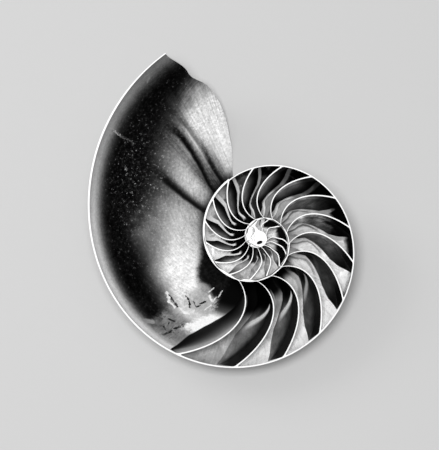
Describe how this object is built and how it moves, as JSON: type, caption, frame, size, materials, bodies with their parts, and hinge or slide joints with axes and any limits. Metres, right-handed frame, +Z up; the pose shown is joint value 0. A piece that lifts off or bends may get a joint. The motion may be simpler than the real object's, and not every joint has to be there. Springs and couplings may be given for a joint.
{
  "type": "nautilus shell half",
  "caption": "Half of a coiled nautilus shell, sawn along its plane of symmetry, with its walled chambers and wide open last chamber; it lies on its rounded flank.",
  "frame": {"origin": "centre of the bounding box's underside, at the level of the surface that the shell lies on", "axes": "+Z up as the shell lies; the cut face looks up and its normal leans 11.2 degrees from +Z, nearly toward -Y; the lip points toward +Y"},
  "size_m": [0.133, 0.155, 0.0499],
  "materials": {
    "shell": "satin nacre, sawn edges pale"
  },
  "bodies": {
    "root": {"nautilus_shell_half": "shell"}
  },
  "joints": []
}
